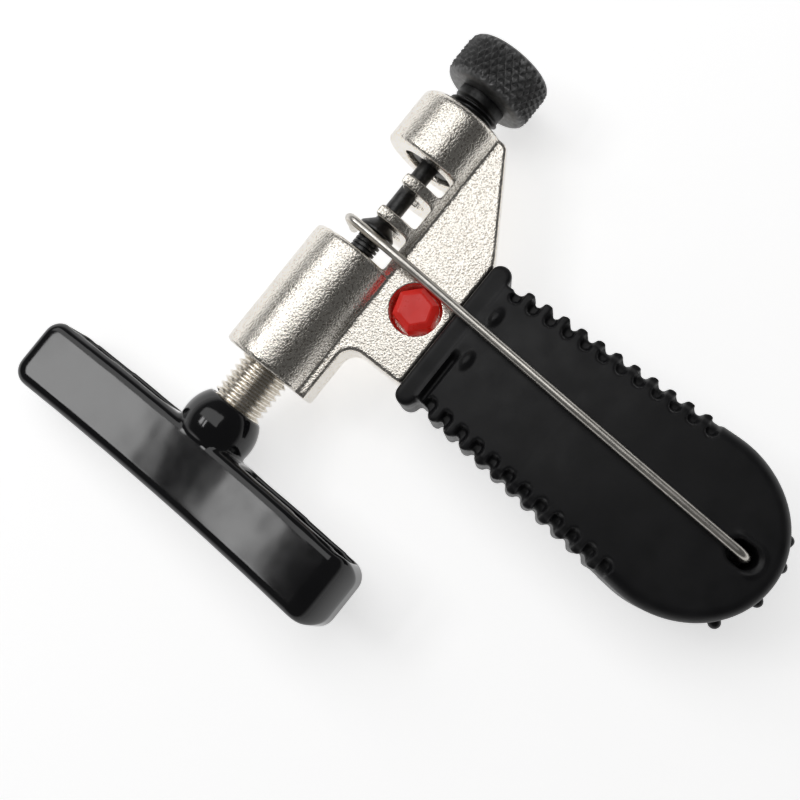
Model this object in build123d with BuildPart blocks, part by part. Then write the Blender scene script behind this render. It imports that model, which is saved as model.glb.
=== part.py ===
from build123d import *
import math
import os

os.makedirs("parts", exist_ok=True)

# ---------------------------------------------------------------------------------------------
# Driving dimensions, in millimetres.
# X runs along the common axis of the two screws, from the T-handle to the knurled knob.
# Y points away from the grip, and Z stands out of the plate's front face.
# The origin is on the screw axis, at the inner face of the driver barrel.
# ---------------------------------------------------------------------------------------------
RUNNING_GAP = 0.07  # radial gap where one piece turns or slides in another

# the casting
BARREL_RADIUS = 8.9
DRIVER_BARREL_START = -26.0
BAY_WIDTH = 19.6
ANVIL_BARREL_LENGTH = 11.4
ANVIL_BARREL_END = BAY_WIDTH + ANVIL_BARREL_LENGTH
BAY_FLOOR = -6.3
RIB_STARTS = (6.6, 13.5)
RIB_THICKNESS = 2.1
RIB_TOP = 0.4
ROLLER_GROOVE_RADIUS = 3.95
RIB_ROOT_FILLET = 0.4
RIB_TOP_FILLET = 0.5
PLATE_THICKNESS = 9.0
PLATE_EDGE_FILLET = 0.6
WING_BOTTOM = -9.4
NECK_LEFT = -13.7
PLATE_BOTTOM = -20.9
SHOULDER_LINE = ((12.4, PLATE_BOTTOM), (13.9, -20.1), (30.6, -9.4))
PLATE_TIP_FILLET = 1.6
TANG_THICKNESS = 7.0
TANG_HALF_WIDTH = 8.0
TANG_END = -74.0

# M10 x 1.25 screws, drawn at the outer diameter of their threads
SCREW_RADIUS = 4.9
THREADED_BORE_RADIUS = SCREW_RADIUS + RUNNING_GAP
DRIVE_SCREW_NOSE = -3.0
SCREW_TAIL_START = -36.0
SCREW_TAIL_END = -50.0
SCREW_TAIL_RADIUS = 4.2
SCREW_TAIL_GROOVE = 0.8

# drive pin, screwed into the drive screw's nose by an M5 stub
STUB_RADIUS = 2.4
STUB_START = -9.0
FLANGE_START = 4.9
FLANGE_RIM_END = 5.5
FLANGE_RADIUS = 3.55
PIN_RADIUS = 1.75
PIN_START = FLANGE_RIM_END + FLANGE_RADIUS - PIN_RADIUS
PIN_END = 21.6

# anvil screw and its knob
ANVIL_TIP = 20.4
ANVIL_TIP_RADIUS = 4.0
ANVIL_BORE_RADIUS = 2.1
ANVIL_BORE_END = 28.0
ANVIL_THREAD_END = 33.4
ANVIL_NECK_END = 35.4
ANVIL_NECK_RADIUS = 4.6
SPIGOT_RADIUS = 3.5
KNOB_GAP = 0.1
KNOB_START = ANVIL_NECK_END + KNOB_GAP
KNOB_END = 44.4
KNOB_RADIUS = 8.6
KNOB_EDGE_FILLET = 1.4

# T-handle
BAR_HALF_LENGTH = 36.5
BAR_FRONT = -41.4
BAR_BACK = -54.8
BAR_SWEEP = 0.8
BAR_HALF_THICKNESS = 5.85
BAR_CORNER = 3.2
BAR_EDGE_FILLET = 1.8
RECESS_DEPTH = 3.0
RECESS_RIM = 1.7
HUB_FACE = -34.4
HUB_FACE_RADIUS = 5.3
HUB_RADIUS = 7.05
HUB_WIDEST = -39.3
HANDLE_TURN = -9.8  # degrees about the screw axis, with the pin fully advanced

# hex plug in the round pocket of the plate
PLUG_CENTRE = (-1.9, -14.9)
POCKET_RADIUS = 4.55
POCKET_FLOOR = -0.5
PLUG_ACROSS_FLATS = 7.3
PLUG_TOP = 5.5
PLUG_CHAMFER = 0.8
PLUG_TURN = 17.5
PLUG_STEM_RADIUS = 2.5
PLUG_STEM_END = -3.5

# grip
GRIP_CENTRE = -1.5
GRIP_HALF_THICKNESS = 8.6
COLLAR_FRONT = -21.1
COLLAR_BACK = -25.0
SLEEVE_FRONT = -24.6
COLLAR_HALF_WIDTH = 14.8
COLLAR_HALF_THICKNESS = 6.8
COLLAR_END_RADIUS = 1.9
COLLAR_EDGE_FILLET = 0.8
GRIP_WAIST_HALF_WIDTH = 15.2
GRIP_SIDE_ANGLE = 85.88
GRIP_END_HALF_WIDTH = 16.4
GRIP_END_STEP = -65.0
GRIP_END_START = -72.0
GRIP_END = -89.9
GRIP_LEAN = -0.76  # degrees
GRIP_FACE_FILLET = 2.2
GRIP_TAPER_END = -46.0
RIB_COUNT = 11
FIRST_GRIP_RIB = -29.2
GRIP_RIB_PITCH = 3.57
GRIP_RIB_RADIUS = 1.35
GRIP_RIB_SIDE_START = 12.5
GRIP_RIB_SIDE_GROWTH = 0.065
GRIP_RIB_HEIGHT = 15.6
END_PIPS = ((6.3, -88.4), (2.1, -90.1), (-4.9, -90.4), (-12.1, -87.1))
END_PIP_RADIUS = 1.2
HOOK_POCKET_LENGTH = 5.6
HOOK_POCKET_WIDTH = 4.2
HOOK_POCKET_FLOOR = -1.0

# chain hook: one wire, bent down at both ends
WIRE_RADIUS = 0.85
WIRE_BEND_RADIUS = 2.0
WIRE_SOFT_BEND_RADIUS = 40.0
HOOK_PIN_LEG = (3.85, 4.55)
HOOK_GRIP_LEG = (-1.3, -83.3)
HOOK_TIP = -3.6
HOOK_X_AT_SADDLE = 3.1
HOOK_X_AT_COLLAR = 2.15
HOOK_X_ON_GRIP = 0.6
HOOK_POCKET_CENTRE = (-1.1, -82.5)
HOOK_GRIP_TIP = 0.4
HOOK_HEIGHT_AT_PIN = 4.95
HOOK_HEIGHT_AT_SADDLE = 7.3
HOOK_HEIGHT_AT_COLLAR = 8.3
HOOK_HEIGHT_ON_GRIP = 9.95
HOOK_HEIGHT_AT_END = 10.2
HOOK_GRIP_BEND = -46.0


def rod(radius, start, end, mode=Mode.ADD):
    """A round bar or hole along the screw axis."""
    with BuildSketch(Plane.YZ.offset(start)) as section:
        Circle(radius)
    extrude(section.sketch, amount=end - start, mode=mode)


def barrel(start, end, start_fillet, end_fillet):
    """A barrel of the casting, with its two rims rounded."""
    with BuildSketch() as half_section:
        with Locations(((start + end) / 2, BARREL_RADIUS / 2)):
            Rectangle(end - start, BARREL_RADIUS)
        rims = half_section.vertices().group_by(Axis.Y)[-1].sort_by(Axis.X)
        fillet(rims[0], start_fillet)
        rims = half_section.vertices().group_by(Axis.Y)[-1].sort_by(Axis.X)
        fillet(rims[-1], end_fillet)
    revolve(half_section.sketch, axis=Axis.X)


def turned(*outline, mode=Mode.ADD):
    """A turned piece: the outline of its half section, revolved about the screw axis."""
    with BuildSketch() as half_section:
        with BuildLine():
            Polyline(*outline, close=True)
        make_face()
    revolve(half_section.sketch, axis=Axis.X, mode=mode)


def screw_tail(mode=Mode.ADD):
    """The grooved end of the drive screw that the T-handle is moulded onto."""
    waist = (SCREW_TAIL_START + SCREW_TAIL_END) / 2
    turned(
        (SCREW_TAIL_END, 0),
        (SCREW_TAIL_END, SCREW_TAIL_RADIUS),
        (waist - 1, SCREW_TAIL_RADIUS),
        (waist - 1, SCREW_TAIL_RADIUS - SCREW_TAIL_GROOVE),
        (waist + 1, SCREW_TAIL_RADIUS - SCREW_TAIL_GROOVE),
        (waist + 1, SCREW_TAIL_RADIUS),
        (SCREW_TAIL_START, SCREW_TAIL_RADIUS),
        (SCREW_TAIL_START, SCREW_RADIUS),
        (HUB_FACE, SCREW_RADIUS),
        (HUB_FACE, 0),
        mode=mode,
    )


def plug_stem(mode=Mode.ADD):
    """The round stem of the plug, below its hexagon."""
    with BuildSketch(Plane.XY.offset(PLUG_STEM_END)) as section:
        with Locations(PLUG_CENTRE):
            Circle(PLUG_STEM_RADIUS)
    extrude(section.sketch, amount=POCKET_FLOOR - PLUG_STEM_END, mode=mode)


def tang(mode=Mode.ADD):
    """The flat tail of the casting inside the grip."""
    length = PLATE_BOTTOM + 1 - TANG_END
    with BuildSketch(Plane.XY.offset(-TANG_THICKNESS / 2)) as section:
        with Locations((GRIP_CENTRE, TANG_END + length / 2)):
            RectangleRounded(2 * TANG_HALF_WIDTH, length, 0.9)
    extrude(section.sketch, amount=TANG_THICKNESS, mode=mode)


# ---------------------------------------------------------------------------------------------
# Tool body: plate, two barrels, two chain ribs and the tang, cast in one piece
# ---------------------------------------------------------------------------------------------
with BuildPart() as plate:
    with BuildSketch(Plane.XY.offset(-PLATE_THICKNESS / 2)) as plate_outline:
        with BuildLine():
            Polyline(
                (DRIVER_BARREL_START, BAY_FLOOR),
                (DRIVER_BARREL_START, WING_BOTTOM),
                (NECK_LEFT, WING_BOTTOM),
                (NECK_LEFT, PLATE_BOTTOM),
                *SHOULDER_LINE,
                (SHOULDER_LINE[-1][0], BAY_FLOOR),
                close=True,
            )
        make_face()
        inner_corner = plate_outline.vertices().sort_by_distance((NECK_LEFT, WING_BOTTOM))[0]
        fillet(inner_corner, 3.0)
        left_corner = plate_outline.vertices().sort_by_distance((NECK_LEFT, PLATE_BOTTOM))[0]
        fillet(left_corner, 1.0)
        right_corners = plate_outline.vertices().sort_by_distance(SHOULDER_LINE[0])[:2]
        fillet(right_corners, 1.0)
        tip_corner = plate_outline.vertices().sort_by_distance(SHOULDER_LINE[-1])[0]
        fillet(tip_corner, PLATE_TIP_FILLET)
    extrude(amount=PLATE_THICKNESS)
    rims = plate.edges().group_by(Axis.Z)
    fillet(rims[0] + rims[-1], PLATE_EDGE_FILLET)

with BuildPart() as tool_body:
    # the saddle under the bay, and the two ribs that a chain's rollers sit on
    with BuildSketch(Plane.XY) as comb:
        with Locations((BAY_WIDTH / 2, (BAY_FLOOR - BARREL_RADIUS) / 2)):
            Rectangle(BAY_WIDTH, BARREL_RADIUS + BAY_FLOOR)
        for start in RIB_STARTS:
            with Locations((start + RIB_THICKNESS / 2, (RIB_TOP + BAY_FLOOR - 1) / 2)):
                Rectangle(RIB_THICKNESS, RIB_TOP - BAY_FLOOR + 1)
        corners = comb.vertices().filter_by_position(Axis.X, 1, BAY_WIDTH - 1)
        fillet(corners.group_by(Axis.Y)[-1], RIB_TOP_FILLET)
        corners = comb.vertices().filter_by_position(Axis.X, 1, BAY_WIDTH - 1)
        fillet(
            corners.filter_by_position(Axis.Y, BAY_FLOOR - 0.01, BAY_FLOOR + 0.01),
            RIB_ROOT_FILLET,
        )
    extrude(amount=BARREL_RADIUS, both=True)
    rod(BARREL_RADIUS, 0, BAY_WIDTH, mode=Mode.INTERSECT)

    # the groove in the ribs for a roller and the drive pin
    with BuildSketch(Plane.YZ):
        Circle(ROLLER_GROOVE_RADIUS)
        with Locations((ROLLER_GROOVE_RADIUS, 0)):
            Rectangle(2 * ROLLER_GROOVE_RADIUS, 2 * ROLLER_GROOVE_RADIUS)
    extrude(amount=BAY_WIDTH, mode=Mode.SUBTRACT)

    add(plate.part)
    tang()

    barrel(DRIVER_BARREL_START, 0, 0.9, 0.9)
    barrel(BAY_WIDTH, ANVIL_BARREL_END, 0.7, 1.6)

    rod(THREADED_BORE_RADIUS, DRIVER_BARREL_START, 0, mode=Mode.SUBTRACT)
    rod(THREADED_BORE_RADIUS, BAY_WIDTH, ANVIL_BARREL_END, mode=Mode.SUBTRACT)

    with BuildSketch(Plane.XY.offset(POCKET_FLOOR)):
        with Locations(PLUG_CENTRE):
            Circle(POCKET_RADIUS)
    extrude(amount=PLATE_THICKNESS, mode=Mode.SUBTRACT)
    plug_stem(mode=Mode.SUBTRACT)

tool_body.part.label = "tool_body"
export_step(tool_body.part, "parts/tool_body.step")

# ---------------------------------------------------------------------------------------------
# Drive side: screw, T-handle and replaceable pin
# ---------------------------------------------------------------------------------------------
with BuildPart() as drive_screw:
    rod(SCREW_RADIUS, HUB_FACE, DRIVE_SCREW_NOSE)
    chamfer(drive_screw.edges().sort_by(Axis.X)[-1], 0.8)
    screw_tail()
    rod(STUB_RADIUS + RUNNING_GAP, STUB_START - 1, DRIVE_SCREW_NOSE, mode=Mode.SUBTRACT)

drive_screw.part.label = "drive_screw"
export_step(drive_screw.part, "parts/drive_screw.step")

bar_plane = Plane.XY.rotated((HANDLE_TURN, 0, 0))
recess_plane = Plane(origin=(BAR_FRONT, 0, 0), x_dir=bar_plane.y_dir, z_dir=(1, 0, 0))

with BuildPart() as t_handle:
    with BuildSketch(bar_plane.offset(-BAR_HALF_THICKNESS)) as bar_outline:
        with BuildLine():
            ThreePointArc(
                (BAR_FRONT - BAR_SWEEP, -BAR_HALF_LENGTH),
                (BAR_FRONT, 0),
                (BAR_FRONT - BAR_SWEEP, BAR_HALF_LENGTH),
            )
            Line(
                (BAR_FRONT - BAR_SWEEP, BAR_HALF_LENGTH),
                (BAR_BACK - BAR_SWEEP, BAR_HALF_LENGTH),
            )
            ThreePointArc(
                (BAR_BACK - BAR_SWEEP, BAR_HALF_LENGTH),
                (BAR_BACK, 0),
                (BAR_BACK - BAR_SWEEP, -BAR_HALF_LENGTH),
            )
            Line(
                (BAR_BACK - BAR_SWEEP, -BAR_HALF_LENGTH),
                (BAR_FRONT - BAR_SWEEP, -BAR_HALF_LENGTH),
            )
        make_face()
        fillet(bar_outline.vertices(), BAR_CORNER)
    extrude(amount=2 * BAR_HALF_THICKNESS)
    bar_rims = t_handle.edges().group_by(Axis((0, 0, 0), bar_plane.z_dir))
    fillet(bar_rims[0] + bar_rims[-1], BAR_EDGE_FILLET)

    # a shallow recess in the barrel side of each arm, inside a thin rim
    recess_start = HUB_RADIUS + RECESS_RIM
    recess_length = BAR_HALF_LENGTH - RECESS_RIM - BAR_SWEEP - recess_start
    recess_middle = recess_start + recess_length / 2
    with BuildSketch(recess_plane):
        with Locations((recess_middle, 0), (-recess_middle, 0)):
            RectangleRounded(recess_length, 2 * (BAR_HALF_THICKNESS - RECESS_RIM), 1.5)
    extrude(amount=-RECESS_DEPTH, mode=Mode.SUBTRACT)

    # the round hub that takes the screw's tail
    with BuildSketch():
        with BuildLine():
            Line((BAR_FRONT - 4, 0), (HUB_FACE, 0))
            Line((HUB_FACE, 0), (HUB_FACE, HUB_FACE_RADIUS))
            ThreePointArc(
                (HUB_FACE, HUB_FACE_RADIUS),
                (HUB_WIDEST, HUB_RADIUS),
                (BAR_FRONT - 1, HUB_RADIUS - 0.6),
            )
            Line((BAR_FRONT - 1, HUB_RADIUS - 0.6), (BAR_FRONT - 4, 0))
        make_face()
    revolve(axis=Axis.X)
    screw_tail(mode=Mode.SUBTRACT)

t_handle.part.label = "t_handle"
export_step(t_handle.part, "parts/t_handle.step")

with BuildPart() as drive_pin:
    turned(
        (STUB_START, 0),
        (STUB_START, STUB_RADIUS),
        (FLANGE_START, STUB_RADIUS),
        (FLANGE_START, FLANGE_RADIUS),
        (FLANGE_RIM_END, FLANGE_RADIUS),
        (PIN_START, PIN_RADIUS),
        (PIN_END - 0.4, PIN_RADIUS),
        (PIN_END, PIN_RADIUS - 0.4),
        (PIN_END, 0),
    )

drive_pin.part.label = "drive_pin"
export_step(drive_pin.part, "parts/drive_pin.step")

# ---------------------------------------------------------------------------------------------
# Anvil side: hollow screw and knurled knob
# ---------------------------------------------------------------------------------------------
with BuildPart() as anvil_screw:
    turned(
        (ANVIL_TIP, 0),
        (ANVIL_TIP, ANVIL_TIP_RADIUS),
        (ANVIL_TIP + SCREW_RADIUS - ANVIL_TIP_RADIUS, SCREW_RADIUS),
        (ANVIL_THREAD_END, SCREW_RADIUS),
        (ANVIL_THREAD_END, ANVIL_NECK_RADIUS),
        (ANVIL_NECK_END, ANVIL_NECK_RADIUS),
        (ANVIL_NECK_END, SPIGOT_RADIUS),
        (KNOB_END - 1, SPIGOT_RADIUS),
        (KNOB_END - 1, 0),
    )
    rod(ANVIL_BORE_RADIUS, ANVIL_TIP, ANVIL_BORE_END, mode=Mode.SUBTRACT)

anvil_screw.part.label = "anvil_screw"
export_step(anvil_screw.part, "parts/anvil_screw.step")

with BuildPart() as anvil_knob:
    rod(KNOB_RADIUS, KNOB_START, KNOB_END)
    fillet(anvil_knob.edges(), KNOB_EDGE_FILLET)
    rod(SPIGOT_RADIUS + RUNNING_GAP, KNOB_START, KNOB_END, mode=Mode.SUBTRACT)

anvil_knob.part.label = "anvil_knob"
export_step(anvil_knob.part, "parts/anvil_knob.step")

# ---------------------------------------------------------------------------------------------
# Plug: a chamfered hexagon on a round stem, pushed into the plate
# ---------------------------------------------------------------------------------------------
with BuildPart() as hex_plug:
    with BuildSketch(Plane.XY.offset(POCKET_FLOOR)):
        with Locations(Location((*PLUG_CENTRE, 0), (0, 0, PLUG_TURN))):
            RegularPolygon(PLUG_ACROSS_FLATS / 2, 6, major_radius=False)
    extrude(amount=PLUG_TOP - POCKET_FLOOR)
    chamfer(hex_plug.edges().group_by(Axis.Z)[-1], PLUG_CHAMFER)
    plug_stem()

hex_plug.part.label = "hex_plug"
export_step(hex_plug.part, "parts/hex_plug.step")

# ---------------------------------------------------------------------------------------------
# Grip: a moulded sleeve over the tang, with a collar, ribbed sides and a round end
# ---------------------------------------------------------------------------------------------
with BuildPart() as collar:
    with BuildSketch(Plane.XY.offset(-COLLAR_HALF_THICKNESS)):
        with Locations((GRIP_CENTRE, (COLLAR_FRONT + COLLAR_BACK) / 2)):
            RectangleRounded(
                2 * COLLAR_HALF_WIDTH, COLLAR_FRONT - COLLAR_BACK, COLLAR_END_RADIUS
            )
    extrude(amount=2 * COLLAR_HALF_THICKNESS)
    collar_rims = collar.edges().group_by(Axis.Z)
    fillet(collar_rims[0] + collar_rims[-1], COLLAR_EDGE_FILLET)

# where the straight sides leave the round end along its tangents
end_length = GRIP_END_START - GRIP_END
side_slope = 1 / math.tan(math.radians(GRIP_SIDE_ANGLE))
tangent_angle = math.atan(side_slope * end_length / GRIP_END_HALF_WIDTH)
sides_half_width = GRIP_END_HALF_WIDTH * math.cos(tangent_angle)
sides_end = GRIP_END_START + end_length * math.sin(tangent_angle)

with BuildPart() as sleeve:
    with BuildSketch(Plane.XY.offset(-GRIP_HALF_THICKNESS)):
        with Locations((GRIP_CENTRE, (SLEEVE_FRONT + sides_end) / 2)):
            Trapezoid(2 * sides_half_width, SLEEVE_FRONT - sides_end, GRIP_SIDE_ANGLE)
        with Locations((GRIP_CENTRE, GRIP_END_START)):
            Ellipse(GRIP_END_HALF_WIDTH, end_length)
    extrude(amount=2 * GRIP_HALF_THICKNESS)
    face_rims = sleeve.edges().group_by(Axis.Z)
    fillet(face_rims[0] + face_rims[-1], GRIP_FACE_FILLET)

    # the waist in front of the round end is narrower, with a small step
    waist_length = COLLAR_FRONT - GRIP_END_STEP
    with BuildSketch(Plane.XY.offset(-GRIP_HALF_THICKNESS)):
        with Locations((GRIP_CENTRE, GRIP_END_STEP + waist_length / 2)):
            Rectangle(3 * GRIP_END_HALF_WIDTH, waist_length)
            Trapezoid(
                2 * GRIP_WAIST_HALF_WIDTH,
                waist_length,
                GRIP_SIDE_ANGLE,
                mode=Mode.SUBTRACT,
            )
    extrude(amount=2 * GRIP_HALF_THICKNESS, mode=Mode.SUBTRACT)

    # ribs along both sides
    for index in range(RIB_COUNT):
        rib_y = FIRST_GRIP_RIB - index * GRIP_RIB_PITCH
        half_width = GRIP_RIB_SIDE_START + index * GRIP_RIB_PITCH * GRIP_RIB_SIDE_GROWTH
        with Locations(
            (GRIP_CENTRE + half_width, rib_y, 0), (GRIP_CENTRE - half_width, rib_y, 0)
        ):
            Cylinder(GRIP_RIB_RADIUS, GRIP_RIB_HEIGHT)

    # both faces fall towards the collar
    for side in (1, -1):
        with BuildSketch(Plane.YZ.offset(GRIP_CENTRE)):
            with BuildLine():
                Polyline(
                    (COLLAR_FRONT, side * COLLAR_HALF_THICKNESS),
                    (GRIP_TAPER_END, side * GRIP_HALF_THICKNESS),
                    (GRIP_TAPER_END, side * (GRIP_HALF_THICKNESS + 1)),
                    (COLLAR_FRONT, side * (GRIP_HALF_THICKNESS + 1)),
                    close=True,
                )
            make_face()
        extrude(amount=2 * COLLAR_HALF_WIDTH, both=True, mode=Mode.SUBTRACT)

# the sleeve leans a little away from the knob
lean_axis = Axis((GRIP_CENTRE, COLLAR_BACK, 0), (0, 0, 1))

with BuildPart() as grip:
    add(sleeve.part.rotate(lean_axis, GRIP_LEAN))
    add(collar.part)

    # small pips round the tip
    with Locations(*[(x, y, 0) for x, y in END_PIPS]):
        Sphere(END_PIP_RADIUS)

    tang(mode=Mode.SUBTRACT)

    # the slot that the hook's rear leg drops into
    with BuildSketch(Plane.XY.offset(HOOK_POCKET_FLOOR)):
        with Locations(HOOK_POCKET_CENTRE):
            SlotOverall(HOOK_POCKET_LENGTH, HOOK_POCKET_WIDTH, rotation=90)
    extrude(amount=2 * GRIP_HALF_THICKNESS, mode=Mode.SUBTRACT)

grip.part.label = "grip"
export_step(grip.part, "parts/grip.step")

# ---------------------------------------------------------------------------------------------
# Chain hook: a wire with a leg beside the pin's stub and a leg in the grip
# ---------------------------------------------------------------------------------------------
pin_leg_x, pin_leg_y = HOOK_PIN_LEG
grip_leg_x, grip_leg_y = HOOK_GRIP_LEG

with BuildPart() as chain_hook:
    with BuildLine() as wire_path:
        FilletPolyline(
            (pin_leg_x, pin_leg_y, HOOK_TIP),
            (pin_leg_x, pin_leg_y, HOOK_HEIGHT_AT_PIN),
            (HOOK_X_AT_SADDLE, BAY_FLOOR, HOOK_HEIGHT_AT_SADDLE),
            (HOOK_X_AT_COLLAR, COLLAR_FRONT, HOOK_HEIGHT_AT_COLLAR),
            (HOOK_X_ON_GRIP, HOOK_GRIP_BEND, HOOK_HEIGHT_ON_GRIP),
            (grip_leg_x, grip_leg_y, HOOK_HEIGHT_AT_END),
            (grip_leg_x, grip_leg_y, HOOK_GRIP_TIP),
            radius=[
                WIRE_BEND_RADIUS,
                WIRE_SOFT_BEND_RADIUS,
                WIRE_SOFT_BEND_RADIUS,
                WIRE_SOFT_BEND_RADIUS,
                WIRE_BEND_RADIUS,
            ],
        )
    with BuildSketch(Plane(wire_path.line @ 0, z_dir=wire_path.line % 0)):
        Circle(WIRE_RADIUS)
    sweep(path=wire_path.line)

chain_hook.part.label = "chain_hook"
export_step(chain_hook.part, "parts/chain_hook.step")
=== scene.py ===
"""The looks of a bicycle chain tool: cast and plated body, cut threads, knurled knob,
moulded T-handle and grip, wire hook and red plug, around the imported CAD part.

The tool's lengths are in millimetres, in the row frame, and are multiplied by MM where Blender
takes them. The floor, the lights and the camera's clip distances are in metres.
"""

import math

import bmesh
import bpy
import numpy as np
from mathutils import Matrix, Vector


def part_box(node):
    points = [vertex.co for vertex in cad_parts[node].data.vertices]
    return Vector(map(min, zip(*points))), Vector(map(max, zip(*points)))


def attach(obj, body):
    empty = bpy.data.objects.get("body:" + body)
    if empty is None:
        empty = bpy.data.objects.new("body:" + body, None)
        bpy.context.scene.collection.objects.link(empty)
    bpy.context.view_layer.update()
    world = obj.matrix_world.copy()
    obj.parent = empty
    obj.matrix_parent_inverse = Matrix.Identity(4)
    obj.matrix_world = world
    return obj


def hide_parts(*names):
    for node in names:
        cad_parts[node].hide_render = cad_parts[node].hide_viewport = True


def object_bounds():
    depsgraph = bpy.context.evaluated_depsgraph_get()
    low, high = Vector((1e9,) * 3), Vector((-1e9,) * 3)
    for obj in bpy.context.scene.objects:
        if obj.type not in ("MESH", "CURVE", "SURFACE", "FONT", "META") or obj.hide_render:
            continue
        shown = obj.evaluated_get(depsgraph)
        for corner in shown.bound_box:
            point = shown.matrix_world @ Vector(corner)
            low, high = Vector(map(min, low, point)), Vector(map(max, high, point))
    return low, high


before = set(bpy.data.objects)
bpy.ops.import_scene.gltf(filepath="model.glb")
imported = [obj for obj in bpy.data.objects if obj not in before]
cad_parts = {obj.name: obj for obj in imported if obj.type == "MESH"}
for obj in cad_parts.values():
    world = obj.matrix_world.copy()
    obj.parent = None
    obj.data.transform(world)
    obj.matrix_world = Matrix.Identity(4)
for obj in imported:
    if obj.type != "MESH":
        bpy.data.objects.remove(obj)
cad_low, cad_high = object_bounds()

MM = 0.001
METRIC_FLANK = 0.62  # share of a thread's pitch taken by its two flanks
COARSE_PITCH = 1.25
COARSE_THREAD_DEPTH = 0.72
FINE_PITCH = 0.8
FINE_THREAD_DEPTH = 0.46
SOFT_PIECE_ANGLE = 80  # degrees between two faces, up to which a softened piece looks smooth


def node_box(node):
    """Lowest and highest corner of a CAD node, in millimetres."""
    low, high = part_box(node)
    return np.array(low) / MM, np.array(high) / MM


# ---------------------------------------------------------------------------------------------
# Meshes
# ---------------------------------------------------------------------------------------------
def place(mesh, name, body, slot, material, *nodes, sharp_angle=32):
    """Puts a mesh in the scene as a piece that rides on a body and stands for CAD nodes."""
    piece = bpy.data.objects.new(name, mesh)
    bpy.context.scene.collection.objects.link(piece)
    mesh.shade_smooth()
    mesh.set_sharp_from_angle(angle=math.radians(sharp_angle))
    mesh.materials.clear()
    mesh.materials.append(material)
    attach(piece, body)
    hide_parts(*nodes)
    return piece


def smoothstep(low, high, value):
    """0 at low and 1 at high, with a smooth rise between them."""
    t = np.clip((value - low) / (high - low), 0, 1)
    return t * t * (3 - 2 * t)


def thread_groove(phase):
    """Depth of a metric thread, 0 on the crest and 1 in the root, at a phase in turns."""
    from_root = np.abs(2 * (phase % 1) - 1)
    return 1 - np.clip((from_root - (1 - METRIC_FLANK) / 2) / METRIC_FLANK, 0, 1)


def refined(profile, threads, step_share=0.05):
    """The points of a turned profile, with short steps wherever a thread is cut."""
    points = [profile[0]]
    for (x0, r0), (x1, r1) in zip(profile, profile[1:]):
        steps = 1
        for start, end, pitch, depth in threads:
            inside = start - 1e-6 <= min(x0, x1) and max(x0, x1) <= end + 1e-6
            if inside and abs(x1 - x0) > pitch * step_share:
                steps = math.ceil(abs(x1 - x0) / (pitch * step_share))
        points += [
            (x0 + (x1 - x0) * i / steps, r0 + (r1 - r0) * i / steps)
            for i in range(1, steps + 1)
        ]
    return points


def turned_mesh(name, profile, threads=(), segments=96, relief=None):
    """A turned piece about the X axis. Each thread is (start, end, pitch, depth) and is
    right-handed, with its depth measured from the profile's largest radius. relief, if given,
    returns the depth of a pattern at an x and a radius, for an array of angles."""
    points = refined(profile, threads)
    angles = np.arange(segments) * 2 * math.pi / segments
    bm = bmesh.new()
    rings = []
    for x, r in points:
        if r < 1e-6:
            rings.append([bm.verts.new((x * MM, 0, 0))])
            continue
        radii = np.full(segments, float(r))
        for start, end, pitch, depth in threads:
            if start - 1e-6 <= x <= end + 1e-6:
                crest = max(radius for _, radius in profile)
                cut = crest - depth * thread_groove(x / pitch - angles / (2 * math.pi))
                radii = np.minimum(radii, cut)
        if relief is not None:
            radii = radii - relief(x, r, angles)
        rings.append(
            [
                bm.verts.new((x * MM, a * MM, b * MM))
                for a, b in zip(radii * np.cos(angles), radii * np.sin(angles))
            ]
        )
    for near, far in zip(rings, rings[1:]):
        for i in range(segments):
            j = (i + 1) % segments
            corners = [
                near[i % len(near)],
                near[j % len(near)],
                far[j % len(far)],
                far[i % len(far)],
            ]
            # a ring that is one point on the axis gives triangles
            bm.faces.new(list(dict.fromkeys(corners)))
    bmesh.ops.recalc_face_normals(bm, faces=bm.faces)
    mesh = bpy.data.meshes.new(name)
    bm.to_mesh(mesh)
    bm.free()
    return mesh


def softened_mesh(node, voxel, rounds, turn=0):
    """A copy of a CAD node's mesh, remeshed into even small faces and smoothed, as a cast or
    moulded surface is. The turn about X, in degrees, squares the node up for the remesh."""
    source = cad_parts[node]
    copy = bpy.data.objects.new(node + "_remesh", source.data.copy())
    squared_up = Matrix.Rotation(math.radians(turn), 4, "X")
    copy.data.transform(squared_up)
    bpy.context.scene.collection.objects.link(copy)
    remesh = copy.modifiers.new("remesh", "REMESH")
    remesh.mode = "VOXEL"
    remesh.voxel_size = voxel * MM
    smooth = copy.modifiers.new("smooth", "SMOOTH")
    smooth.factor = 0.5
    smooth.iterations = rounds
    graph = bpy.context.evaluated_depsgraph_get()
    mesh = bpy.data.meshes.new_from_object(copy.evaluated_get(graph))
    mesh.transform(squared_up.inverted())
    bpy.data.objects.remove(copy)
    return mesh


def coordinates(mesh):
    """A mesh's points as an array, in millimetres."""
    flat = np.empty(len(mesh.vertices) * 3)
    mesh.vertices.foreach_get("co", flat)
    return flat.reshape(-1, 3) / MM


def set_coordinates(mesh, points):
    mesh.vertices.foreach_set("co", (points * MM).ravel())
    mesh.update()


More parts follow.
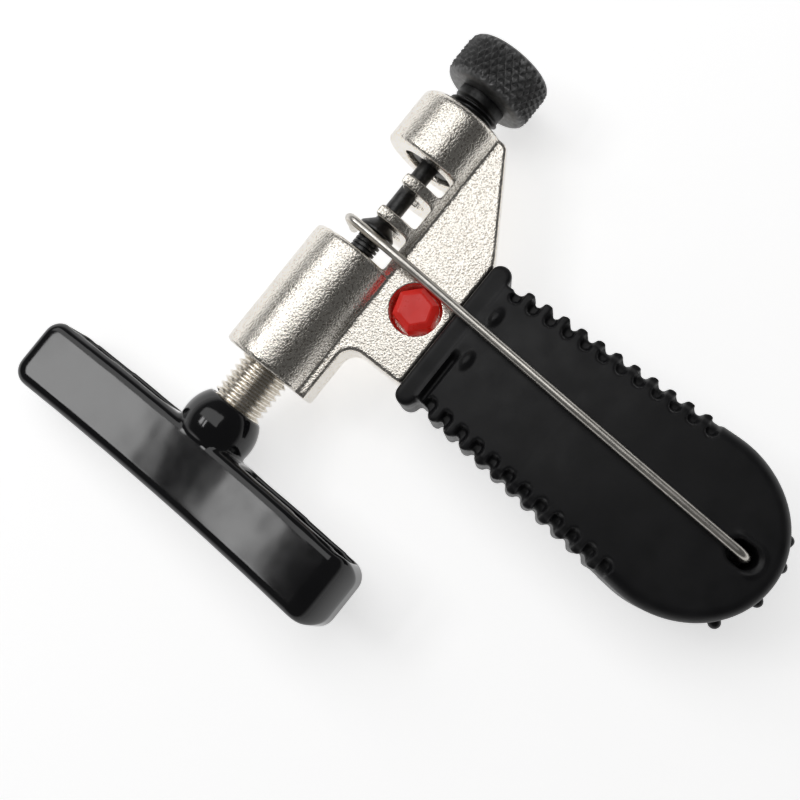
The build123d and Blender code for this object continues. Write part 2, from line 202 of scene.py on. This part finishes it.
# ---------------------------------------------------------------------------------------------
# Materials
# ---------------------------------------------------------------------------------------------
class Finish:
    """A material under construction: its shader, and short calls for the nodes that feed it."""

    def __init__(self, name, colour, metallic, roughness):
        self.material = bpy.data.materials.new(name)
        self.material.use_nodes = True
        self.nodes = self.material.node_tree.nodes
        self.links = self.material.node_tree.links
        self.shader = self.nodes["Principled BSDF"]
        self.shader.inputs["Base Color"].default_value = (*colour, 1)
        self.shader.inputs["Metallic"].default_value = metallic
        self.shader.inputs["Roughness"].default_value = roughness
        self.place = self.nodes.new("ShaderNodeTexCoord").outputs["Object"]

    def noise(self, size, detail=2.0, stretch=(1, 1, 1)):
        """Noise whose blotches are about size millimetres across."""
        mapping = self.nodes.new("ShaderNodeMapping")
        mapping.inputs["Scale"].default_value = stretch
        self.links.new(self.place, mapping.inputs["Vector"])
        texture = self.nodes.new("ShaderNodeTexNoise")
        texture.inputs["Scale"].default_value = 1 / (size * MM)
        texture.inputs["Detail"].default_value = detail
        self.links.new(mapping.outputs["Vector"], texture.inputs["Vector"])
        return texture.outputs["Fac"]

    def remapped(self, value, low, high, start=0.3, end=0.7):
        """A value from start to end, spread over low to high."""
        ranged = self.nodes.new("ShaderNodeMapRange")
        ranged.inputs["From Min"].default_value = start
        ranged.inputs["From Max"].default_value = end
        ranged.inputs["To Min"].default_value = low
        ranged.inputs["To Max"].default_value = high
        self.links.new(value, ranged.inputs["Value"])
        return ranged.outputs["Result"]

    def mottle(self, value, dark, light, start=0.35, end=0.65):
        """The base colour goes from dark to light with a value."""
        ramp = self.nodes.new("ShaderNodeValToRGB")
        ramp.color_ramp.elements[0].position = start
        ramp.color_ramp.elements[0].color = (*dark, 1)
        ramp.color_ramp.elements[1].position = end
        ramp.color_ramp.elements[1].color = (*light, 1)
        self.links.new(value, ramp.inputs["Fac"])
        self.links.new(ramp.outputs["Color"], self.shader.inputs["Base Color"])

    def roughness(self, value, low, high):
        self.links.new(self.remapped(value, low, high), self.shader.inputs["Roughness"])

    def bump(self, value, height, strength=1.0):
        """Relief of a height in millimetres, on top of any relief already there."""
        bump = self.nodes.new("ShaderNodeBump")
        bump.inputs["Strength"].default_value = strength
        bump.inputs["Distance"].default_value = height * MM
        self.links.new(value, bump.inputs["Height"])
        socket = self.shader.inputs["Normal"]
        if socket.is_linked:
            self.links.new(socket.links[0].from_socket, bump.inputs["Normal"])
        self.links.new(bump.outputs["Normal"], socket)


def cast_nickel():
    """Bright plating over a cast surface: smooth bright grains, and crisp pits between them
    whose dark colour is painted shade.
    """
    finish = Finish("cast_nickel", (0.78, 0.745, 0.69), 1.0, 0.16)
    grain = finish.noise(0.34, 2.5)
    # painted shade: the base colour darkens where the grain is low, the same spots that the bump
    # below sinks into pits
    finish.mottle(grain, (0.46, 0.42, 0.36), (0.82, 0.78, 0.715), 0.34, 0.48)
    finish.roughness(finish.noise(2.6), 0.12, 0.22)
    finish.bump(finish.noise(1.3, 1.0), 0.04)
    finish.bump(finish.remapped(grain, 0, 1, 0.34, 0.62), 0.027)
    return finish.material


def screw_steel():
    """Turned steel with a thin warm zinc coat."""
    finish = Finish("screw_steel", (0.78, 0.74, 0.68), 1.0, 0.24)
    finish.mottle(finish.noise(1.2), (0.70, 0.66, 0.59), (0.82, 0.78, 0.72))
    finish.roughness(finish.noise(0.8), 0.2, 0.28)
    finish.bump(finish.noise(0.5, 2.0, (1, 0.2, 0.2)), 0.002)
    return finish.material


def black_oxide(name, grey, metallic, roughness_low, roughness_high):
    """Blackened steel with an oily sheen."""
    finish = Finish(name, (grey, grey, grey), metallic, roughness_low)
    finish.mottle(finish.noise(1.0), (0.7 * grey,) * 3, (1.3 * grey,) * 3)
    finish.roughness(finish.noise(0.6), roughness_low, roughness_high)
    finish.bump(finish.noise(0.25), 0.012)
    return finish.material


def handle_plastic():
    """Glossy black moulded plastic, with faint sink marks."""
    finish = Finish("handle_plastic", (0.007, 0.007, 0.008), 0.0, 0.16)
    finish.mottle(finish.noise(9.0), (0.005, 0.005, 0.006), (0.009, 0.009, 0.010))
    finish.roughness(finish.noise(5.0, 3.0), 0.07, 0.12)
    finish.bump(finish.noise(9.0, 1.0), 0.07)
    return finish.material


def grip_rubber():
    """Satin black soft plastic with a very fine grain."""
    finish = Finish("grip_rubber", (0.008, 0.008, 0.009), 0.0, 0.44)
    finish.shader.inputs["Specular IOR Level"].default_value = 0.3
    finish.mottle(finish.noise(6.0), (0.006, 0.006, 0.007), (0.010, 0.010, 0.011))
    finish.roughness(finish.noise(3.0, 3.0), 0.38, 0.5)
    finish.bump(finish.noise(7.0, 1.0), 0.10)
    finish.bump(finish.noise(0.3, 2.0), 0.006)
    return finish.material


def wire_steel():
    """Drawn stainless wire: long faint die lines."""
    finish = Finish("wire_steel", (0.63, 0.60, 0.55), 1.0, 0.3)
    finish.mottle(finish.noise(1.5), (0.56, 0.54, 0.50), (0.68, 0.65, 0.60))
    finish.roughness(finish.noise(0.4, 2.0, (1, 0.06, 1)), 0.26, 0.36)
    finish.bump(finish.noise(0.4, 1.0, (1, 0.03, 1)), 0.003)
    return finish.material


def red_plastic():
    """Red moulded plastic, a little translucent, with a weak painted glow (emission) that stands
    in for light on the plug and keeps its red bright.
    """
    finish = Finish("red_plastic", (0.85, 0.03, 0.022), 0.0, 0.3)
    # painted light: a faint red emission that brightens the plug in place of lamp light
    finish.shader.inputs["Emission Color"].default_value = (0.9, 0.03, 0.02, 1)
    finish.shader.inputs["Emission Strength"].default_value = 0.16
    finish.shader.inputs["Subsurface Weight"].default_value = 0.15
    finish.shader.inputs["Subsurface Radius"].default_value = (0.6 * MM, 0.15 * MM, 0.1 * MM)
    finish.mottle(finish.noise(2.5), (0.82, 0.026, 0.020), (0.92, 0.036, 0.028))
    finish.roughness(finish.noise(1.0), 0.26, 0.4)
    finish.bump(finish.noise(0.6), 0.006)
    return finish.material


# ---------------------------------------------------------------------------------------------
# Cast body
# ---------------------------------------------------------------------------------------------
def make_body():
    """The casting, with its edges softened as plating leaves them."""
    mesh = softened_mesh("tool_body", 0.25, 5)
    material = cast_nickel()
    place(
        mesh,
        "plated_body",
        "body",
        "cast_nickel",
        material,
        "tool_body",
        sharp_angle=SOFT_PIECE_ANGLE,
    )


# ---------------------------------------------------------------------------------------------
# Screws, pin and knob
# ---------------------------------------------------------------------------------------------
def make_drive_screw():
    """M10 screw: cut thread over the whole shank, a chamfered nose with the pin's socket,
    and the plain grooved tail inside the handle."""
    low, high = node_box("drive_screw")
    crest = high[2]
    tail = crest - 0.7
    hub_depth = t_hub_face() - 1.6
    thread_start = hub_depth + 0.7
    nose = high[0]
    chamfer = 0.8
    socket_radius = 2.47
    socket_end = nose - 7
    groove = (low[0] + hub_depth) / 2
    groove_bottom = tail - 0.8
    profile = [
        (low[0], 0),
        (low[0], tail),
        (groove - 1, tail),
        (groove - 1, groove_bottom),
        (groove + 1, groove_bottom),
        (groove + 1, tail),
        (hub_depth, tail),
        (thread_start, crest),
        (nose - chamfer, crest),
        (nose, crest - chamfer),
        (nose, socket_radius),
        (socket_end, socket_radius),
        (socket_end, 0),
    ]
    threads = [(thread_start, nose, COARSE_PITCH, COARSE_THREAD_DEPTH)]
    mesh = turned_mesh("drive_screw_thread", profile, threads)
    place(mesh, "threaded_drive_screw", "driver", "zinc_screw", screw_steel(), "drive_screw")


def t_hub_face():
    """X of the T-handle's hub face, in millimetres, where the screw comes out."""
    return node_box("t_handle")[1][0]


def make_drive_pin():
    """The replaceable pin: M5 stub, cone flange with a thin rim, and the pin itself."""
    low, high = node_box("drive_pin")
    flange = high[2]
    stub = 2.4
    pin = 1.75
    flange_start = 4.9
    cone_end = flange_start + 0.6 + flange - pin
    profile = [
        (low[0], 0),
        (low[0], stub - 0.4),
        (low[0] + 0.4, stub),
        (flange_start - 0.35, stub),
        (flange_start, stub + 0.05),
        (flange_start, flange - 0.12),
        (flange_start + 0.12, flange),
        (flange_start + 0.5, flange),
        (flange_start + 0.66, flange - 0.08),
        (cone_end - 0.15, pin + 0.15),
        (cone_end + 0.25, pin),
        (high[0] - 0.4, pin),
        (high[0], pin - 0.4),
        (high[0], 0),
    ]
    stub_thread = (low[0], flange_start - 0.3, FINE_PITCH, FINE_THREAD_DEPTH + flange - stub)
    mesh = turned_mesh("drive_pin_turned", profile, [stub_thread], 72)
    material = black_oxide("black_oxide_pin", 0.06, 0.85, 0.28, 0.42)
    place(mesh, "turned_drive_pin", "pin_carriage", "black_oxide", material, "drive_pin")


def make_anvil_screw():
    """The hollow anvil screw, with its bore, its thread and the neck under the knob."""
    low, high = node_box("anvil_screw")
    crest = high[2]
    tip = low[0]
    bore = 2.1
    bore_end = 28.0
    neck = 4.6
    spigot = 3.5
    knob_face = node_box("anvil_knob")[0][0]
    thread_end = knob_face - 2.1
    profile = [
        (bore_end, 0),
        (bore_end, bore),
        (tip + 0.25, bore),
        (tip, bore + 0.25),
        (tip, 3.85),
        (tip + 0.2, 4.05),
        (tip + crest - 3.85, crest),
        (thread_end, crest),
        (thread_end, neck - 0.3),
        (thread_end + 0.4, neck),
        (knob_face - 0.1, neck),
        (knob_face - 0.1, spigot),
        (high[0] - 0.4, spigot),
        (high[0], spigot - 0.4),
        (high[0], 0),
    ]
    threads = [(tip + 0.2, thread_end, COARSE_PITCH, COARSE_THREAD_DEPTH)]
    mesh = turned_mesh("anvil_screw_thread", profile, threads)
    material = black_oxide("black_oxide_screw", 0.035, 0.85, 0.3, 0.45)
    place(mesh, "threaded_anvil_screw", "anvil", "black_oxide", material, "anvil_screw")


def make_knob():
    """The knurled knob: pressed diamonds that fade out over its rounded edges."""
    low, high = node_box("anvil_knob")
    radius = high[2]
    edge = 2.0
    bore = 3.57
    around = 32
    lead = 2.2  # length along X over which one knurl line moves on by one diamond
    knurl_depth = 0.7

    def rounded(x_centre, start, end):
        """Points round an edge of the rim, from one angle to another in degrees."""
        steps = 8
        turns = [math.radians(start + (end - start) * i / steps) for i in range(steps + 1)]
        inner = radius - edge
        return [(x_centre - edge * math.cos(t), inner + edge * math.sin(t)) for t in turns]

    straight = 64
    first, last = low[0] + edge, high[0] - edge
    rim = [(first + (last - first) * i / straight, radius) for i in range(1, straight)]
    profile = [
        (low[0], bore),
        *rounded(first, 0, 90),
        *rim,
        *rounded(last, 90, 180),
        (high[0], bore + 0.4),
        (high[0] - 0.4, bore),
        (low[0], bore),
    ]

    def diamonds(x, r, angles):
        """Depth of the knurl's two crossing sets of grooves."""
        turn = angles * around / (2 * math.pi)
        along = (x - low[0]) / lead
        grooves = np.maximum(
            np.abs(2 * ((turn + along) % 1) - 1), np.abs(2 * ((turn - along) % 1) - 1)
        )
        fade = smoothstep(radius - 0.5, radius - 0.05, r)
        return knurl_depth * fade * np.clip(grooves - 0.12, 0, 1)

    mesh = turned_mesh("knob_knurl", profile, (), around * 12, diamonds)
    material = black_oxide("black_oxide_knurl", 0.11, 0.6, 0.36, 0.48)
    place(mesh, "knurled_knob", "knob", "black_oxide_knurl", material, "anvil_knob")


# ---------------------------------------------------------------------------------------------
# Moulded parts
# ---------------------------------------------------------------------------------------------
BAR_TURN = 9.8  # degrees about X that lay the T-handle's bar along Y
END_ROUNDING = 5.0  # length of bar, from its end nearest the grip, over which the face falls
END_FALL = 0.8  # how much of the square of the bar's height is gone at that end


def make_handle():
    """The T-handle, with its moulded edges, the soft blend of the hub into the bar, and a face
    that rounds off at the bar's end nearest the grip."""
    mesh = softened_mesh("t_handle", 0.3, 12, BAR_TURN)
    squared_up = Matrix.Rotation(math.radians(BAR_TURN), 4, "X")
    mesh.transform(squared_up)
    points = coordinates(mesh)
    y, z = points[:, 1], points[:, 2]
    from_end = np.clip((y - np.min(y)) / END_ROUNDING, 0, 1)
    height = np.sqrt(1 - END_FALL * (1 - from_end) ** 2)
    back = np.min(z[y < -20])  # the bar's back, which stays where it is
    points[:, 2] = np.where(from_end < 1, back + (z - back) * height, z)
    set_coordinates(mesh, points)
    mesh.transform(squared_up.inverted())
    material = handle_plastic()
    place(
        mesh,
        "moulded_t_handle",
        "driver",
        "handle_plastic",
        material,
        "t_handle",
        sharp_angle=SOFT_PIECE_ANGLE,
    )


def make_plug():
    """The red plug: a hexagon with a bevelled top, on a round stem."""
    low, high = node_box("hex_plug")
    across_flats = 7.05
    corner = across_flats / math.sqrt(3)
    rounding = 0.985  # how far out the hexagon's rounded corners reach, as a share
    turn = math.radians(17.5)
    stem = 2.5
    stem_end = low[2]
    shelf = -0.5
    centre = (low + high) / 2
    # height, radius out to a corner, and whether the ring is round
    levels = [
        (stem_end, stem - 0.3, True),
        (stem_end + 0.3, stem, True),
        (shelf, stem, True),
        (shelf, corner, False),
        (high[2] - 0.85, corner, False),
        (high[2] - 0.12, corner - 0.9, False),
        (high[2], corner - 1.25, False),
    ]
    bm = bmesh.new()
    rings = []
    sides = 48
    for z, r, is_round in levels:
        ring = []
        for i in range(sides):
            angle = 2 * math.pi * i / sides
            sector = (angle % (math.pi / 3)) - math.pi / 6
            flat = math.cos(math.pi / 6) / math.cos(sector)
            reach = r if is_round else r * min(flat, rounding)
            ring.append(
                bm.verts.new(
                    (
                        (centre[0] + reach * math.cos(angle + turn)) * MM,
                        (centre[1] + reach * math.sin(angle + turn)) * MM,
                        z * MM,
                    )
                )
            )
        rings.append(ring)
    for lower, upper in zip(rings, rings[1:]):
        for i in range(sides):
            j = (i + 1) % sides
            bm.faces.new([lower[i], lower[j], upper[j], upper[i]])
    bm.faces.new(rings[0][::-1])  # the stem's end
    bm.faces.new(rings[-1])  # the flat top
    bmesh.ops.recalc_face_normals(bm, faces=bm.faces)
    mesh = bpy.data.meshes.new("hex_plug_moulded")
    bm.to_mesh(mesh)
    bm.free()
    place(mesh, "moulded_plug", "body", "red_plastic", red_plastic(), "hex_plug", sharp_angle=20)


GRIP_RIB_PITCH = 3.57
FIRST_VALLEY = -27.4  # Y of the valley in front of the first rib
VALLEYS = 12
COLLAR_BACK = -25.0
TAPER_END = -46.0  # Y of the bend where the faces begin to fall towards the collar
BEND_REACH = 12.0  # length on each side of that bend over which it is eased
BEND_STRENGTH = 0.086
SLEEVE_LEAN = math.tan(math.radians(0.76))
SLEEVE_MIDDLE = -1.5  # X of the sleeve's middle line at the collar's back
RIB_LINE = 13.0  # from the middle line to a line along the ribs, at the first valley
RIB_LINE_SPREAD = 0.065  # how much further out that line gets for each millimetre along -Y
LIP_CENTRE = (-1.1, -82.5)
LIP_HALF_LENGTH = 1.3  # half of the straight length that the lip runs round
LIP_RADIUS = 2.6
COLLAR_MARKS = ((-3.6, -27.6), (5.2, -26.9))


def make_grip():
    """The moulded grip: ribs with scooped valleys, the collar's groove and marks, a lip round
    the hook's slot, and a face that falls a little towards its sides."""
    face = node_box("grip")[1][2]
    mesh = softened_mesh("grip", 0.3, 4)
    points = coordinates(mesh)
    x, y, z = points.T
    from_middle = np.abs(x - SLEEVE_MIDDLE - SLEEVE_LEAN * (y - COLLAR_BACK))
    inward = RIB_LINE + RIB_LINE_SPREAD * (FIRST_VALLEY - y) - from_middle
    upper = np.abs(z)

    # the face's slight crown
    spread = np.clip(from_middle / 15, 0, 1)
    drop = 0.5 * spread**3 * smoothstep(face - 4, face - 1, upper)

    # a long soft bend where the taper ends
    bend = np.maximum(0, BEND_REACH - np.abs(y - TAPER_END)) ** 2 / (4 * BEND_REACH)
    drop += BEND_STRENGTH * bend * smoothstep(face - 5, face - 2.5, upper)

    # scooped valleys on both sides of every rib, open at the grip's sides
    for i in range(VALLEYS):
        along = y - (FIRST_VALLEY - i * GRIP_RIB_PITCH)
        distance = np.hypot(np.maximum(inward - 1.5, 0), along) - 0.95
        scoop = smoothstep(0.3, -0.25, distance)
        drop = np.maximum(drop, 2.2 * scoop * smoothstep(face - 5.6, face - 3.0, upper))

    # the groove behind the collar, on the side away from the knob
    groove = smoothstep(0.75, 0.35, np.abs(y - (COLLAR_BACK - 0.6)))
    groove *= smoothstep(-3.0, -5.0, x) * smoothstep(face - 5, face - 3.2, z)
    drop += 1.6 * groove

    # a low lip on one side of the hook's slot
    lip_x, lip_y = LIP_CENTRE
    past_middle = np.maximum(np.abs(y - lip_y) - LIP_HALF_LENGTH, 0)
    from_lip = np.hypot(x - lip_x, past_middle) - LIP_RADIUS
    lip = np.exp(-((from_lip / 0.4) ** 2)) * smoothstep(face - 1.2, face - 0.6, z)
    drop -= 0.28 * lip * smoothstep(-1.5, 1.5, (x - lip_x) - (y - lip_y))

    # two oblong marks beside the wire, just behind the collar
    for mark_x, mark_y in COLLAR_MARKS:
        distance = np.hypot((x - mark_x) / 1.9, (y - mark_y) / 1.0)
        drop -= 0.6 * smoothstep(1.2, 0.3, distance) * smoothstep(4, 6, z)

    points[:, 2] = z - np.sign(z) * drop
    set_coordinates(mesh, points)
    material = grip_rubber()
    place(
        mesh,
        "moulded_grip",
        "body",
        "grip_rubber",
        material,
        "grip",
        sharp_angle=SOFT_PIECE_ANGLE,
    )


def finish_wire():
    """The chain hook's CAD wire already has its shape, and gets its drawn-steel finish."""
    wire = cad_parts["chain_hook"]
    wire.data.materials.clear()
    wire.data.materials.append(wire_steel())


make_body()
make_drive_screw()
make_drive_pin()
make_anvil_screw()
make_knob()
make_handle()
make_plug()
make_grip()
finish_wire()


# ---------------------------------------------------------------------------------------------
# Floor, light and camera
# ---------------------------------------------------------------------------------------------
def make_floor():
    """A plain pale floor just under the tool, with the glow of a lit studio background."""
    half_size = 2.0
    bm = bmesh.new()
    bmesh.ops.create_grid(bm, x_segments=1, y_segments=1, size=half_size)
    mesh = bpy.data.meshes.new("floor")
    bm.to_mesh(mesh)
    bm.free()
    floor = bpy.data.objects.new("floor", mesh)
    bpy.context.scene.collection.objects.link(floor)
    floor.location.z = cad_low.z - 0.4 * MM
    paint = Finish("floor_paint", (0.93, 0.93, 0.93), 0.0, 0.9)
    paint.shader.inputs["Specular IOR Level"].default_value = 0.1
    paint.shader.inputs["Emission Color"].default_value = (1, 1, 1, 1)
    paint.shader.inputs["Emission Strength"].default_value = 0.62
    mesh.materials.append(paint.material)


def softbox(name, slopes_x, slopes_y, radiance, height=0.62):
    """A level rectangular light above the tool. It fills a range of slopes from the vertical
    along X and along Y, as seen from the origin."""
    light = bpy.data.lights.new(name, "AREA")
    light.shape = "RECTANGLE"
    light.size = (slopes_x[1] - slopes_x[0]) * height
    light.size_y = (slopes_y[1] - slopes_y[0]) * height
    light.energy = radiance * math.pi * light.size * light.size_y
    lamp = bpy.data.objects.new(name, light)
    lamp.location = (sum(slopes_x) / 2 * height, sum(slopes_y) / 2 * height, height)
    bpy.context.scene.collection.objects.link(lamp)


def make_world():
    """A dark room above a pale horizon."""
    world = bpy.data.worlds.new("studio")
    bpy.context.scene.world = world
    world.use_nodes = True
    nodes, links = world.node_tree.nodes, world.node_tree.links
    place_node = nodes.new("ShaderNodeTexCoord")
    split = nodes.new("ShaderNodeSeparateXYZ")
    ramp = nodes.new("ShaderNodeValToRGB")
    ramp.color_ramp.elements[0].position = 0.08
    ramp.color_ramp.elements[0].color = (0.85, 0.85, 0.85, 1)
    ramp.color_ramp.elements[1].position = 0.3
    ramp.color_ramp.elements[1].color = (0.09, 0.09, 0.09, 1)
    links.new(place_node.outputs["Generated"], split.inputs["Vector"])
    links.new(split.outputs["Z"], ramp.inputs["Fac"])
    links.new(ramp.outputs["Color"], nodes["Background"].inputs["Color"])


def make_camera():
    """A camera above the plate's face, turned so that the screws run up to the right."""
    location = Vector((-23.9, -49.6, 213.3)) * MM
    right = Vector((0.62397, -0.77772, -0.07625)).normalized()
    forward = Vector((0.03869, 0.12820, -0.99099)).normalized()
    up = right.cross(forward).normalized()
    right = forward.cross(up)
    data = bpy.data.cameras.new("camera")
    data.lens = 55.44
    data.sensor_width = 36
    data.clip_start = 0.01
    data.clip_end = 10
    camera = bpy.data.objects.new("camera", data)
    turn = Matrix((right, up, -forward)).transposed()
    camera.matrix_world = Matrix.Translation(location) @ turn.to_4x4()
    bpy.context.scene.collection.objects.link(camera)
    bpy.context.scene.camera = camera


make_floor()
make_world()
softbox("main", (-0.05, 0.60), (-0.09, 1.73), 1.45)
softbox("strip_far", (-0.40, -0.07), (0.70, 0.98), 6.0)
softbox("strip_near", (-0.40, -0.07), (0.48, 0.58), 6.0)
make_camera()
bpy.context.scene.view_settings.view_transform = "Standard"
